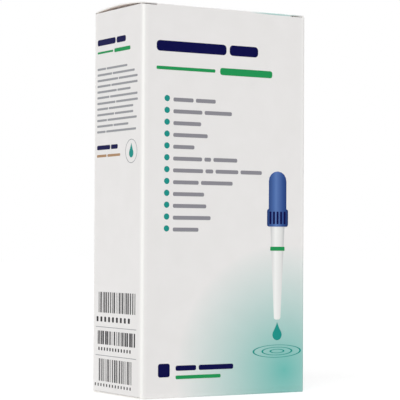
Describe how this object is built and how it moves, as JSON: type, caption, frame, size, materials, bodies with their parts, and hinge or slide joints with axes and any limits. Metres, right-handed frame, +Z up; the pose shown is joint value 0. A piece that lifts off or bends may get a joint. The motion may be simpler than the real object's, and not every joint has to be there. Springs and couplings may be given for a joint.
{
  "type": "folding carton",
  "caption": "Upright folding carton in white coated paperboard with teal print, reverse-tuck lids at top and bottom, slit-lock ears and dust flaps, to hold a pen-sized medical device.",
  "frame": {"origin": "under the middle of the base, on the outer face of the bottom lid", "axes": "+Z up the carton's height, towards the top lid; +X along the front panel's width, to the right as the front is looked at; the front panel faces -Y"},
  "size_m": [0.0752, 0.0396, 0.1526],
  "materials": {
    "coated_board": "satin",
    "navy_ink": "satin",
    "blue_ink": "satin",
    "green_ink": "satin",
    "teal_ink": "satin",
    "grey_ink": "satin",
    "black_ink": "satin",
    "tan_ink": "satin",
    "pale_ink": "satin"
  },
  "bodies": {
    "carton": {"carton_body": "coated_board"},
    "top_lid": {"top_lid": "coated_board"},
    "bottom_lid": {"bottom_lid": "coated_board"}
  },
  "joints": [
    {"name": "top_lid_hinge", "type": "hinge", "parent": "carton", "child": "top_lid", "pos_m": [0, 0.01935, 0.15105], "axis": [-1, 0, 0], "range_deg": [0, 180]},
    {"name": "bottom_lid_hinge", "type": "hinge", "parent": "carton", "child": "bottom_lid", "pos_m": [0, -0.01935, 0.00045], "axis": [-1, 0, 0], "range_deg": [0, 180]}
  ]
}
